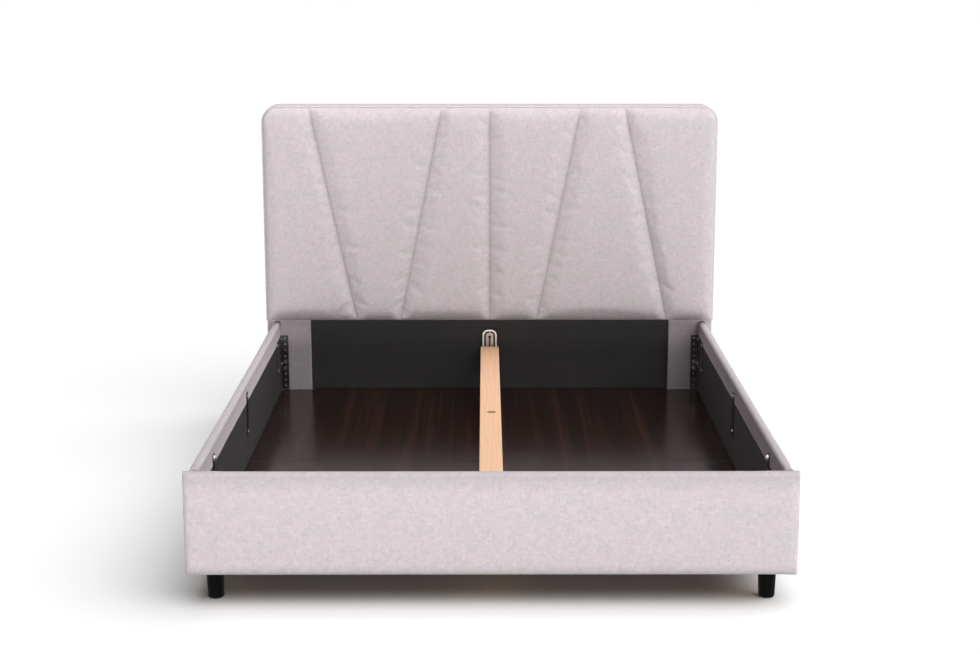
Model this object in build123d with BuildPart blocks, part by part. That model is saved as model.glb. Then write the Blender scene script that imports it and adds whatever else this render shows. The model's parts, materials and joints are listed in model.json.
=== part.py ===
from build123d import *
import os
from math import cos, radians, sin

# An upholstered double bed without its mattress and slatted base: a padded storage box on five
# plastic feet, a headboard with six sewn channels, and a loose pine beam down the middle.
# X runs across the bed, +Y towards the headboard, +Z up. The origin is on the ground, below the
# middle of the whole bed. All sizes are in millimetres.

# The sleeping surface that the box is built round
mattress_width = 1600
mattress_length = 2000
mattress_side_gap = 8
mattress_end_gap = 10

# Heights of the box
foot_height = 90
panel_height = 300
floor_rise = 30
fabric_turn_in = 66

# Padded side rails and foot panel, measured over the fabric
rail_thickness = 30
rail_board_thickness = 16
rail_crown = 3
rail_edge_radius = 10
foot_panel_thickness = 35
foot_board_thickness = 18
foot_panel_overhang = 12
foot_panel_crown = 5
foot_panel_edge_radius = 14
foot_panel_end_padding = 5
lining_thickness = 2
top_padding = 10
bottom_wrap = 2
inner_edge_radius = 4

# Headboard, measured over the fabric
headboard_height = 1220
headboard_depth = 90
headboard_side_margin = 10
headboard_corner_radius = 60
post_width = 168
border_thickness = 5
face_board_thickness = 8
back_board_thickness = 3
back_cover_thickness = 2
frame_rail_height = 70
strut_width = 45
strut_place_share = 0.27
rear_board_thickness = 16
rear_board_recess = 20

# The six padded channels and the five seams between them
channel_lift = 10
channel_overhang = 30
channel_seam_depth = 5
channel_shoulder = 24
channel_crown = 6
channel_gap = 0.6
seam_top_shares = (-0.790, -0.209, 0.0, 0.398, 0.590)
seam_bottom_shares = (-0.590, -0.398, 0.0, 0.209, 0.790)
roll_off_angles = (12, 38, 64, 90)

# Box floor and the battens under it
floor_thickness = 6
floor_side_gap = 2
floor_post_gap = 7
floor_seam_gap = 1
ledge_width = 24
bearer_width = 60
corner_block_width = 90

# Centre beam, its leg, and the keyhole hangers that carry it
beam_width = 70
beam_depth = 44
beam_drop = 100
beam_end_gap = 7
beam_edge_radius = 2.5
leg_radius = 25
leg_waist_radius = 19
leg_collar = 12
leg_floor_gap = 0.3
hanger_width = 58
hanger_height = 120
hanger_depth = 16
hanger_rise = 66
hanger_corner_radius = 24
hanger_bevel = 2.5
hanger_rim = 7
hanger_wall = 2.5
hanger_recess = 4
hanger_boss_inset = 15
hanger_boss_rise = 2
keyhole_radius = 6
keyhole_travel = 58
slot_clearance = 0.3
stud_radius = 2.75
stud_head_radius = 5.2
stud_head_thickness = 2.5
stud_head_clearance = 0.5
hanger_screw_inset = 11
hanger_screw_radius = 1.5
hanger_screw_head_radius = 3
hanger_screw_head_height = 1.5

# Slat supports: perforated strips on the inside of each rail
support_width = 28
support_height = 148
support_thickness = 2.5
support_drop = 34
support_foot_distance = 265
support_screw_inset = 14
support_peg_radius = 4
support_peg_spacing = 24
support_peg_count = 4
support_end_radius = 4
support_stud_radius = 12
support_stud_height = 8

# Corner angles between the rails and the headboard posts or the foot panel
angle_thickness = 2.5
angle_post_wing = 28
angle_post_drop = 56
angle_rail_wing = 150
angle_rail_height = 125
angle_rail_drop = 55
angle_floor_gap = 2
angle_hole_radius = 4.2
angle_hole_inset = 11
angle_hole_spacing = 23.5
angle_hole_count = 9
angle_bolt_steps = (4, 5)
angle_slot_length = 70
angle_slot_spacing = 26
angle_slot_count = 3
angle_slot_radius = 4
angle_corner_radius = 6

# Fasteners
screw_radius = 2
screw_head_radius = 6
screw_head_height = 3
screw_grip = 11
bolt_radius = 4
bolt_head_across_flats = 13
bolt_head_height = 5
bolt_grip = 14
hole_clearance = 0.1

# Feet
foot_top_radius = 26
foot_bottom_radius = 23
foot_rim_bevel = 4
foot_side_inset = 72
foot_front_inset = 87
foot_stud_radius = 4
foot_stud_depth = 25
foot_stud_rise = 18

# One overrun for every cut that has to pass right through
overrun = 1

# Places across the bed, from the middle outwards
inner_half = mattress_width / 2 + mattress_side_gap
rail_outer = inner_half + rail_thickness
foot_panel_half = rail_outer + foot_panel_overhang
headboard_half = foot_panel_half + headboard_side_margin
post_inner = headboard_half - post_width
foot_x = foot_panel_half - foot_side_inset

# Places along the bed, from the foot panel to the back of the headboard
box_length = mattress_length + mattress_end_gap
overall_length = foot_panel_thickness + box_length + headboard_depth
front_y = -overall_length / 2
foot_inner_y = front_y + foot_panel_thickness
post_y = foot_inner_y + box_length
back_y = post_y + headboard_depth
middle_y = foot_inner_y + box_length / 2
rear_lining_y = post_y + rear_board_recess
rear_board_y = rear_lining_y + lining_thickness
frame_front_y = post_y + border_thickness
frame_back_y = back_y - back_cover_thickness - back_board_thickness

# Heights
rail_top = foot_height + panel_height
turn_in_z = rail_top - fabric_turn_in
floor_top = foot_height + floor_rise
floor_bottom = floor_top - floor_thickness
channel_bottom = rail_top + channel_lift
frame_top = headboard_height - border_thickness
beam_top = rail_top - beam_drop
beam_middle_z = beam_top - beam_depth / 2

os.makedirs("parts", exist_ok=True)


def write(part, name):
    """Labels one finished piece and writes it as parts/name.step."""
    part.label = name
    export_step(part, f"parts/{name}.step")


def write_pair(part, name):
    """Writes a right-hand piece and its mirror image on the left of the bed."""
    write(part, f"{name}_right")
    write(part.mirror(Plane.YZ), f"{name}_left")


def between(low, high):
    """Middle of a span, where a centred shape is placed to fill it."""
    return (low + high) / 2


def block(x_span, y_span, z_span):
    """A straight board or batten that fills three spans, in the open part."""
    with Locations((between(*x_span), between(*y_span), between(*z_span))):
        Box(x_span[1] - x_span[0], y_span[1] - y_span[0], z_span[1] - z_span[0])


def cut_block(x_span, y_span, z_span):
    """Cuts the same kind of block out of the open part."""
    with Locations((between(*x_span), between(*y_span), between(*z_span))):
        Box(
            x_span[1] - x_span[0],
            y_span[1] - y_span[0],
            z_span[1] - z_span[0],
            mode=Mode.SUBTRACT,
        )


def bore(origin, direction, radius, depth):
    """Cuts a blind hole of this depth from a point into the open part."""
    with BuildSketch(Plane(origin=origin, z_dir=direction)) as mouth:
        Circle(radius)
    extrude(mouth.sketch, amount=depth, mode=Mode.SUBTRACT)


def padded_outline(inner, outward, thickness, crown, edge_radius):
    """Closed section of a padded panel: flat inside, rounded top and bottom, crowned outside.

    The first axis of the sketch runs across the panel and the second one up it. inner is the
    place of the inside face and outward is 1 or -1, the way to the crowned face.
    """
    diagonal = edge_radius * cos(radians(45))
    shoulder = thickness - crown
    centre = shoulder - edge_radius
    inner_turn = inner_edge_radius * (1 - cos(radians(45)))

    def at(across, up):
        return (inner + outward * across, foot_height + up)

    with BuildLine() as outline:
        Line(at(0, 0), at(centre, 0))
        ThreePointArc(
            at(centre, 0),
            at(centre + diagonal, edge_radius - diagonal),
            at(shoulder, edge_radius),
        )
        ThreePointArc(
            at(shoulder, edge_radius),
            at(thickness, panel_height / 2),
            at(shoulder, panel_height - edge_radius),
        )
        ThreePointArc(
            at(shoulder, panel_height - edge_radius),
            at(centre + diagonal, panel_height - edge_radius + diagonal),
            at(centre, panel_height),
        )
        Line(at(centre, panel_height), at(inner_edge_radius, panel_height))
        ThreePointArc(
            at(inner_edge_radius, panel_height),
            at(inner_turn, panel_height - inner_turn),
            at(0, panel_height - inner_edge_radius),
        )
        Line(at(0, panel_height - inner_edge_radius), at(0, 0))
    make_face(outline.edges())


def headboard_outline(inset, bottom):
    """Upright outline of the headboard, with its two rounded top corners."""
    width = 2 * (headboard_half - inset)
    height = headboard_height - inset - bottom
    with Locations((0, bottom + height / 2)):
        outline = Rectangle(width, height)
    fillet(outline.vertices().group_by(Axis.Y)[-1], headboard_corner_radius - inset)


# Where the fasteners go

def rail_wing_screws(corner_y, inward):
    """Centres of the four screws in the rail wing of a right-hand corner angle."""
    near = corner_y + inward * (angle_thickness + support_screw_inset)
    far = corner_y + inward * (angle_rail_wing - support_screw_inset)
    top = rail_top - angle_rail_drop - support_screw_inset
    low = rail_top - angle_rail_drop - angle_rail_height + support_screw_inset
    return [(y, z) for y in (near, far) for z in (low, top)]


post_wing_span = (floor_top + angle_floor_gap, rail_top - angle_post_drop)
top_angle_hole = post_wing_span[1] - angle_hole_inset
angle_bolts = [top_angle_hole - angle_hole_spacing * step for step in angle_bolt_steps]
angle_bolt_x = inner_half - angle_thickness - (angle_post_wing - angle_thickness) / 2
head_screws = rail_wing_screws(post_y, -1)
foot_screws = rail_wing_screws(foot_inner_y, 1)
support_top = rail_top - support_drop
support_screw_heights = (
    support_top - support_screw_inset,
    support_top - support_height + support_screw_inset,
)
support_places = {"foot": foot_inner_y + support_foot_distance, "middle": middle_y}
support_fixings = [(y, z) for y in support_places.values() for z in support_screw_heights]
support_screws = support_fixings[1:]
rail_screws = head_screws + foot_screws + support_fixings
hanger_top = beam_top + hanger_rise
hanger_bottom = hanger_top - hanger_height
hanger_screw_heights = (hanger_top - hanger_screw_inset, hanger_bottom + hanger_screw_inset)


# Side rails: chipboard, a fabric cover over foam, and a dark lining inside

board_inner = inner_half + lining_thickness
board_bottom = foot_height + bottom_wrap
board_top = rail_top - top_padding

with BuildPart() as side_rail:
    block(
        (board_inner, board_inner + rail_board_thickness),
        (foot_inner_y, post_y),
        (board_bottom, board_top),
    )
    for y, z in rail_screws:
        bore((inner_half, y, z), (1, 0, 0), screw_radius + hole_clearance, screw_grip)
write_pair(side_rail.part, "side_rail_board")

with BuildPart() as rail_cover:
    with BuildSketch(Plane.XZ.offset(-post_y)):
        padded_outline(inner_half, 1, rail_thickness, rail_crown, rail_edge_radius)
        with Locations(
            (board_inner + rail_board_thickness / 2, between(board_bottom, board_top))
        ):
            Rectangle(rail_board_thickness, board_top - board_bottom, mode=Mode.SUBTRACT)
        with Locations(
            (inner_half + lining_thickness / 2, between(board_bottom, turn_in_z))
        ):
            Rectangle(lining_thickness, turn_in_z - board_bottom, mode=Mode.SUBTRACT)
    extrude(amount=box_length)
    for y, z in rail_screws:
        bore((inner_half, y, z), (1, 0, 0), screw_radius + hole_clearance, lining_thickness)
write_pair(rail_cover.part, "side_rail_cover")

with BuildPart() as rail_lining:
    block((inner_half, board_inner), (foot_inner_y, post_y), (board_bottom, turn_in_z))
    for y, z in rail_screws:
        bore((inner_half, y, z), (1, 0, 0), screw_radius + hole_clearance, lining_thickness)
write_pair(rail_lining.part, "side_rail_lining")


# Foot panel: the same build across the bed, overhanging the rails at both ends

foot_board_inner = foot_inner_y - lining_thickness
foot_board_half = foot_panel_half - foot_panel_end_padding
foot_fixings = [
    (side * angle_bolt_x, z, bolt_radius) for side in (-1, 1) for z in angle_bolts
]
foot_fixings += [(0, z, hanger_screw_radius) for z in hanger_screw_heights]

with BuildPart() as foot_board:
    block(
        (-foot_board_half, foot_board_half),
        (foot_board_inner - foot_board_thickness, foot_board_inner),
        (board_bottom, board_top),
    )
    for x, z, radius in foot_fixings:
        bore((x, foot_inner_y, z), (0, -1, 0), radius + hole_clearance, bolt_grip)
write(foot_board.part, "foot_panel_board")

with BuildPart() as foot_cover:
    with BuildSketch(Plane.YZ.offset(-foot_panel_half)):
        padded_outline(
            foot_inner_y, -1, foot_panel_thickness, foot_panel_crown, foot_panel_edge_radius
        )
    extrude(amount=2 * foot_panel_half)
    with BuildSketch(Plane.XY.offset(foot_height)):
        with Locations((0, between(front_y, foot_inner_y))):
            plan = Rectangle(2 * foot_panel_half, foot_panel_thickness)
        fillet(plan.vertices().group_by(Axis.Y)[0], foot_panel_edge_radius)
    extrude(amount=panel_height, mode=Mode.INTERSECT)
    cut_block(
        (-foot_board_half, foot_board_half),
        (foot_board_inner - foot_board_thickness, foot_board_inner),
        (board_bottom, board_top),
    )
    cut_block(
        (-inner_half, inner_half),
        (foot_board_inner, foot_inner_y + overrun),
        (board_bottom, turn_in_z),
    )
    for x, z, radius in foot_fixings:
        bore((x, foot_inner_y, z), (0, -1, 0), radius + hole_clearance, lining_thickness)
write(foot_cover.part, "foot_panel_cover")

with BuildPart() as foot_lining:
    block((-inner_half, inner_half), (foot_board_inner, foot_inner_y), (board_bottom, turn_in_z))
    for x, z, radius in foot_fixings:
        bore((x, foot_inner_y, z), (0, -1, 0), radius + hole_clearance, lining_thickness)
write(foot_lining.part, "foot_panel_lining")


# Headboard frame: two wide stiles that run down to the feet, two rails and two struts

stile_inner = post_inner + border_thickness
foot_stile_y = between(frame_front_y, frame_back_y)

with BuildPart() as stile:
    with BuildSketch(Plane.XZ.offset(-frame_back_y)):
        headboard_outline(border_thickness, foot_height)
        with Locations((between(-headboard_half, stile_inner), headboard_height / 2)):
            Rectangle(headboard_half + stile_inner, headboard_height, mode=Mode.SUBTRACT)
    extrude(amount=frame_back_y - frame_front_y)
    for z in angle_bolts:
        bore((angle_bolt_x, post_y, z), (0, 1, 0), bolt_radius + hole_clearance, bolt_grip)
    bore((foot_x, foot_stile_y, foot_height), (0, 0, 1), foot_stud_radius, foot_stud_rise)
write_pair(stile.part, "headboard_stile")

with BuildPart() as top_rail:
    block(
        (-stile_inner, stile_inner),
        (frame_front_y, frame_back_y),
        (frame_top - frame_rail_height, frame_top),
    )
write(top_rail.part, "headboard_top_rail")

with BuildPart() as lower_rail:
    block(
        (-stile_inner, stile_inner),
        (frame_front_y, frame_back_y),
        (channel_bottom, channel_bottom + frame_rail_height),
    )
write(lower_rail.part, "headboard_lower_rail")

with BuildPart() as struts:
    for side in (-1, 1):
        strut_x = side * strut_place_share * headboard_half
        block(
            (strut_x - strut_width / 2, strut_x + strut_width / 2),
            (frame_front_y, frame_back_y),
            (channel_bottom + frame_rail_height, frame_top - frame_rail_height),
        )
write(struts.part, "headboard_struts")

face_board_y = frame_front_y - face_board_thickness

with BuildPart() as face_board:
    with BuildSketch(Plane.XZ.offset(-frame_front_y)):
        headboard_outline(border_thickness, channel_bottom)
    extrude(amount=face_board_thickness)
write(face_board.part, "headboard_face_board")

with BuildPart() as back_board:
    with BuildSketch(Plane.XZ.offset(-frame_back_y - back_board_thickness)):
        headboard_outline(border_thickness, foot_height)
    extrude(amount=back_board_thickness)
write(back_board.part, "headboard_back_board")

with BuildPart() as back_cover:
    with BuildSketch(Plane.XZ.offset(-back_y)):
        headboard_outline(border_thickness, foot_height)
    extrude(amount=back_cover_thickness)
write(back_cover.part, "headboard_back_cover")


# Border: the padded band round the edge of the headboard, open at the bottom

border_front_y = post_y - channel_overhang

with BuildPart() as border:
    with BuildSketch(Plane.XZ.offset(-back_y)):
        headboard_outline(0, channel_bottom)
    extrude(amount=back_y - border_front_y)
    with BuildSketch(Plane.XZ.offset(-back_y - overrun)):
        headboard_outline(border_thickness, channel_bottom)
    extrude(amount=back_y - border_front_y + 2 * overrun, mode=Mode.SUBTRACT)
write(border.part, "headboard_border")


# Post covers: the fabric round the lower part of each stile, below the channels

with BuildPart() as post_cover:
    block((post_inner, headboard_half), (post_y, back_y), (foot_height, channel_bottom))
    cut_block(
        (stile_inner, headboard_half - border_thickness),
        (frame_front_y, back_y + overrun),
        (foot_height - overrun, channel_bottom + overrun),
    )
    cut_block(
        (post_inner - overrun, stile_inner),
        (rear_lining_y, back_y + overrun),
        (foot_height - overrun, channel_bottom + overrun),
    )
    for z in angle_bolts:
        bore((angle_bolt_x, post_y, z), (0, 1, 0), bolt_radius + hole_clearance, border_thickness)
write_pair(post_cover.part, "headboard_post_cover")


# Rear board between the posts, with its dark lining

with BuildPart() as rear_board:
    block(
        (-stile_inner, stile_inner),
        (rear_board_y, rear_board_y + rear_board_thickness),
        (foot_height, channel_bottom),
    )
    for z in hanger_screw_heights:
        bore((0, rear_lining_y, z), (0, 1, 0), hanger_screw_radius + hole_clearance, bolt_grip)
write(rear_board.part, "rear_board")

with BuildPart() as rear_lining:
    block(
        (-stile_inner, stile_inner),
        (rear_lining_y, rear_board_y),
        (foot_height, channel_bottom),
    )
    for z in hanger_screw_heights:
        bore(
            (0, rear_lining_y, z), (0, 1, 0), hanger_screw_radius + hole_clearance, lining_thickness
        )
write(rear_lining.part, "rear_board_lining")


# Channels: six foam pads with rounded shoulders, one on each side of five slanting seams

seam_y = border_front_y + channel_seam_depth
channel_half = headboard_half - border_thickness
channel_top = headboard_height - border_thickness


def channel_section(left, right, height_share):
    """Level section of one channel: straight sides and back, two shoulders and a low crown."""
    turn = channel_shoulder * (1 - cos(radians(45)))
    rise = channel_shoulder * sin(radians(45)) * height_share
    shoulder_y = seam_y - channel_shoulder * height_share
    crown_y = shoulder_y - channel_crown * height_share
    with BuildLine() as outline:
        Polyline((left, seam_y), (left, face_board_y), (right, face_board_y), (right, seam_y))
        ThreePointArc(
            (right, seam_y), (right - turn, seam_y - rise), (right - channel_shoulder, shoulder_y)
        )
        ThreePointArc(
            (right - channel_shoulder, shoulder_y),
            (between(left, right), crown_y),
            (left + channel_shoulder, shoulder_y),
        )
        ThreePointArc(
            (left + channel_shoulder, shoulder_y), (left + turn, seam_y - rise), (left, seam_y)
        )
    make_face(outline.edges())


seam_tops = [-channel_half] + [share * headboard_half for share in seam_top_shares]
seam_tops += [channel_half]
seam_bottoms = [-channel_half] + [share * headboard_half for share in seam_bottom_shares]
seam_bottoms += [channel_half]
roll_off = [
    (channel_shoulder * (1 - cos(radians(angle))), sin(radians(angle)))
    for angle in roll_off_angles
]
stations = [(channel_bottom + rise, share) for rise, share in roll_off]
stations += [(channel_top - drop, share) for drop, share in reversed(roll_off)]

for number in range(len(seam_tops) - 1):
    with BuildPart() as channel:
        for z, height_share in stations:
            up_share = (z - channel_bottom) / (channel_top - channel_bottom)
            left, right = (
                seam_bottoms[edge] + (seam_tops[edge] - seam_bottoms[edge]) * up_share
                for edge in (number, number + 1)
            )
            with BuildSketch(Plane.XY.offset(z)):
                channel_section(left + channel_gap / 2, right - channel_gap / 2, height_share)
        loft(ruled=True)
        with BuildSketch(Plane.XZ.offset(-frame_front_y)):
            headboard_outline(border_thickness + channel_gap / 2, channel_bottom)
        extrude(amount=frame_front_y - border_front_y + 2 * channel_shoulder, mode=Mode.INTERSECT)
    write(channel.part, f"headboard_channel_{number + 1}")


# Box floor: four thin boards on ledges, with bearers under their seams

panel_inner_x = floor_seam_gap / 2
panel_outer_x = inner_half - floor_side_gap
floor_span = (floor_bottom, floor_top)

with BuildPart() as front_floor:
    block(
        (panel_inner_x, panel_outer_x),
        (foot_inner_y + floor_side_gap, middle_y - floor_seam_gap / 2),
        floor_span,
    )
write_pair(front_floor.part, "floor_board_front")

with BuildPart() as rear_floor:
    block(
        (panel_inner_x, panel_outer_x),
        (middle_y + floor_seam_gap / 2, rear_lining_y - floor_side_gap),
        floor_span,
    )
    cut_block(
        (post_inner - floor_post_gap, panel_outer_x + overrun),
        (post_y - floor_post_gap, rear_lining_y),
        (floor_bottom - overrun, floor_top + overrun),
    )
write_pair(rear_floor.part, "floor_board_rear")

ledge_span = (foot_height, floor_bottom)
block_front_y = foot_inner_y + corner_block_width

with BuildPart() as side_ledges:
    for side in (-1, 1):
        edges = sorted((side * (inner_half - ledge_width), side * inner_half))
        block(edges, (block_front_y, post_y), ledge_span)
write(side_ledges.part, "floor_ledges_side")

ledge_half = inner_half - corner_block_width

with BuildPart() as end_ledges:
    block((-ledge_half, ledge_half), (foot_inner_y, foot_inner_y + ledge_width), ledge_span)
    block((-post_inner, post_inner), (rear_lining_y - ledge_width, rear_lining_y), ledge_span)
write(end_ledges.part, "floor_ledges_end")

with BuildPart() as centre_bearer:
    block(
        (-bearer_width / 2, bearer_width / 2),
        (foot_inner_y + ledge_width, rear_lining_y - ledge_width),
        ledge_span,
    )
    bore((0, middle_y, foot_height), (0, 0, 1), foot_stud_radius, foot_stud_rise)
write(centre_bearer.part, "floor_centre_bearer")

with BuildPart() as cross_bearers:
    for side in (-1, 1):
        edges = sorted((side * bearer_width / 2, side * (inner_half - ledge_width)))
        block(edges, (middle_y - bearer_width / 2, middle_y + bearer_width / 2), ledge_span)
write(cross_bearers.part, "floor_cross_bearers")

with BuildPart() as corner_blocks:
    for side in (-1, 1):
        edges = sorted((side * ledge_half, side * inner_half))
        block(edges, (foot_inner_y, block_front_y), ledge_span)
        bore(
            (side * foot_x, front_y + foot_front_inset, foot_height),
            (0, 0, 1),
            foot_stud_radius,
            foot_stud_rise,
        )
write(corner_blocks.part, "foot_corner_blocks")


# Feet: tapered plastic with a threaded stud up the middle

foot_places = {
    "foot_front_left": (-foot_x, front_y + foot_front_inset),
    "foot_front_right": (foot_x, front_y + foot_front_inset),
    "foot_rear_left": (-foot_x, foot_stile_y),
    "foot_rear_right": (foot_x, foot_stile_y),
    "foot_centre": (0, middle_y),
}

for name, (x, y) in foot_places.items():
    with BuildPart() as foot:
        with BuildSketch(Plane.XZ.offset(-y)):
            with BuildLine():
                Polyline(
                    (x, 0),
                    (x + foot_bottom_radius - foot_rim_bevel, 0),
                    (x + foot_bottom_radius, foot_rim_bevel),
                    (x + foot_top_radius, foot_height),
                    (x, foot_height),
                    close=True,
                )
            make_face()
        revolve(axis=Axis((x, y, 0), (0, 0, 1)))
        bore((x, y, foot_height), (0, 0, -1), foot_stud_radius, foot_stud_depth)
    write(foot.part, name)

with BuildPart() as foot_studs:
    for x, y in foot_places.values():
        with BuildSketch(Plane.XY.offset(foot_height - foot_stud_depth)):
            with Locations((x, y)):
                Circle(foot_stud_radius)
        extrude(amount=foot_stud_depth + foot_stud_rise)
write(foot_studs.part, "foot_studs")


# Centre beam with its leg, hung by a headed stud at each end

stud_reach = hanger_depth + beam_end_gap
beam_head_y = rear_lining_y - stud_reach
beam_foot_y = foot_inner_y + stud_reach
field_back = hanger_depth - hanger_recess - hanger_wall
stud_head_front = field_back - stud_head_clearance

with BuildPart() as beam:
    block(
        (-beam_width / 2, beam_width / 2), (beam_foot_y, beam_head_y), (beam_top - beam_depth, beam_top)
    )
    fillet(beam.edges().filter_by(Axis.Y), beam_edge_radius)
write(beam.part, "centre_beam")


def beam_stud(wall_y, outward):
    """A headed stud from the end of the beam into the hollow of the hanger on that wall."""
    def across_stud(distance):
        """The plane across the stud at this distance from the wall."""
        return Plane(
            origin=(0, wall_y - outward * distance, beam_middle_z), z_dir=(0, outward, 0)
        )

    with BuildSketch(across_stud(stud_reach)) as shank:
        Circle(stud_radius)
    extrude(shank.sketch, amount=stud_reach - stud_head_front)
    with BuildSketch(across_stud(stud_head_front)) as head:
        Circle(stud_head_radius)
    extrude(head.sketch, amount=stud_head_thickness)


with BuildPart() as head_stud:
    beam_stud(rear_lining_y, 1)
write(head_stud.part, "beam_stud_head")

with BuildPart() as foot_end_stud:
    beam_stud(foot_inner_y, -1)
write(foot_end_stud.part, "beam_stud_foot")

leg_top = beam_top - beam_depth
leg_bottom = floor_top + leg_floor_gap

with BuildPart() as beam_leg:
    with BuildSketch(Plane.XZ.offset(-middle_y)):
        with BuildLine():
            Polyline((0, leg_top), (0, leg_bottom), (leg_radius, leg_bottom))
            Line((leg_radius, leg_bottom), (leg_radius, leg_bottom + leg_collar))
            Line(
                (leg_radius, leg_bottom + leg_collar),
                (leg_waist_radius, between(leg_bottom, leg_top)),
            )
            Line((leg_waist_radius, between(leg_bottom, leg_top)), (leg_radius, leg_top - leg_collar))
            Polyline((leg_radius, leg_top - leg_collar), (leg_radius, leg_top), (0, leg_top))
        make_face()
    revolve(axis=Axis((0, middle_y, 0), (0, 0, 1)))
write(beam_leg.part, "beam_leg")


# Keyhole hangers: pressed steel, with a raised rim and a slot that the stud drops into

def hanger_outline(inset, bottom_inset):
    """Arched outline of a hanger, drawn in from its edge."""
    height = hanger_height - inset - bottom_inset
    with Locations((0, hanger_bottom + bottom_inset + height / 2)):
        outline = Rectangle(hanger_width - 2 * inset, height)
    fillet(outline.vertices().group_by(Axis.Y)[-1], hanger_corner_radius - inset)


def hanger(wall_y, outward):
    """A hanger on the wall at wall_y. outward is 1 where that wall is at the head of the bed."""
    def facing_bed(distance):
        """The upright plane at this distance from the wall, looking into the bed."""
        origin = (0, wall_y - outward * distance, 0)
        return Plane(origin=origin, x_dir=(outward, 0, 0), z_dir=(0, -outward, 0))

    with BuildSketch(facing_bed(0)) as blank:
        hanger_outline(0, 0)
    extrude(blank.sketch, amount=hanger_depth - hanger_bevel)
    with BuildSketch(facing_bed(hanger_depth - hanger_bevel)) as rim:
        hanger_outline(0, 0)
    extrude(rim.sketch, amount=hanger_bevel, taper=45)
    with BuildSketch(facing_bed(0)) as hollow:
        hanger_outline(hanger_wall, hanger_wall)
    extrude(hollow.sketch, amount=field_back, mode=Mode.SUBTRACT)
    with BuildSketch(facing_bed(hanger_depth - hanger_recess)) as field:
        hanger_outline(hanger_rim, hanger_wall)
    extrude(field.sketch, amount=hanger_recess, mode=Mode.SUBTRACT)
    with BuildSketch(facing_bed(hanger_depth - hanger_recess)) as boss:
        hanger_outline(hanger_boss_inset, hanger_boss_inset)
    extrude(boss.sketch, amount=hanger_boss_rise)
    with BuildSketch(facing_bed(0)) as holes:
        with Locations((0, beam_middle_z)):
            Circle(stud_radius + slot_clearance)
        with Locations((0, beam_middle_z + keyhole_travel / 2)):
            Rectangle(2 * (stud_radius + slot_clearance), keyhole_travel)
        with Locations((0, beam_middle_z + keyhole_travel)):
            Circle(keyhole_radius)
        with Locations(*((0, z) for z in hanger_screw_heights)):
            Circle(hanger_screw_radius + hole_clearance)
    extrude(holes.sketch, amount=hanger_depth, mode=Mode.SUBTRACT)


with BuildPart() as head_hanger:
    hanger(rear_lining_y, 1)
write(head_hanger.part, "beam_hanger_head")

with BuildPart() as foot_hanger:
    hanger(foot_inner_y, -1)
write(foot_hanger.part, "beam_hanger_foot")


# Slat supports

for name, y in support_places.items():
    with BuildPart() as support:
        with BuildSketch(Plane.YZ.offset(inner_half - support_thickness)):
            with Locations((y, support_top - support_height / 2)):
                strip = Rectangle(support_width, support_height)
            low_corners, high_corners = strip.vertices().group_by(Axis.Y)
            fillet(low_corners, support_end_radius)
            fillet(high_corners, support_width / 2 - hole_clearance)
            with Locations(*((y, z) for z in support_screw_heights)):
                Circle(screw_radius + hole_clearance, mode=Mode.SUBTRACT)
            with Locations((y, support_top - support_height / 2)):
                with GridLocations(0, support_peg_spacing, 1, support_peg_count):
                    Circle(support_peg_radius, mode=Mode.SUBTRACT)
        extrude(amount=support_thickness)
    write_pair(support.part, f"slat_support_{name}")


# Corner angles

def corner_angle(corner_y, inward, screws):
    """An angle in a right-hand corner: a tall narrow wing across and a wide slotted wing along."""
    wing_end = corner_y + inward * angle_rail_wing
    wing_middle_y = between(corner_y, wing_end)
    wing_middle_z = rail_top - angle_rail_drop - angle_rail_height / 2
    hole_middle_z = top_angle_hole - angle_hole_spacing * (angle_hole_count - 1) / 2
    with BuildSketch(Plane.YZ.offset(inner_half - angle_thickness)) as rail_wing:
        with Locations((wing_middle_y, wing_middle_z)):
            wing = Rectangle(angle_rail_wing, angle_rail_height)
        fillet(wing.vertices().sort_by(Axis.X, reverse=inward > 0)[:2], angle_corner_radius)
        with Locations(*screws):
            Circle(screw_radius + hole_clearance, mode=Mode.SUBTRACT)
        with Locations((wing_middle_y, wing_middle_z)):
            with GridLocations(0, angle_slot_spacing, 1, angle_slot_count):
                SlotOverall(angle_slot_length, 2 * angle_slot_radius, mode=Mode.SUBTRACT)
    extrude(rail_wing.sketch, amount=angle_thickness)
    with BuildSketch(Plane.XZ.offset(-corner_y)) as post_wing:
        with Locations((inner_half - angle_post_wing / 2, between(*post_wing_span))):
            Rectangle(angle_post_wing, post_wing_span[1] - post_wing_span[0])
        with Locations((angle_bolt_x, hole_middle_z)):
            with GridLocations(0, angle_hole_spacing, 1, angle_hole_count):
                Circle(angle_hole_radius, mode=Mode.SUBTRACT)
    extrude(post_wing.sketch, amount=-inward * angle_thickness)


with BuildPart() as head_angle:
    corner_angle(post_y, -1, head_screws)
write_pair(head_angle.part, "corner_angle_head")

with BuildPart() as foot_angle:
    corner_angle(foot_inner_y, 1, foot_screws)
write_pair(foot_angle.part, "corner_angle_foot")


# Screws and bolts: each group is one node of separate, identical fasteners

def screw(seat, direction, lift, radius, head_radius, head_height):
    """A round-headed screw into a wall. seat is a point on the wall, lift away from the head."""
    into_wall = Vector(*direction)
    head_seat = Vector(*seat) - into_wall * lift
    tip = lift + screw_grip
    with BuildSketch(Plane(origin=head_seat, x_dir=into_wall, z_dir=(0, 0, 1))) as half_profile:
        with BuildLine():
            Polyline(
                (-head_height, 0),
                (tip, 0),
                (tip, radius),
                (0, radius),
                (0, head_radius),
                (-head_height / 2, head_radius),
                (-head_height, head_radius / 2),
                close=True,
            )
        make_face()
    revolve(half_profile.sketch, axis=Axis(head_seat, into_wall))


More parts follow.
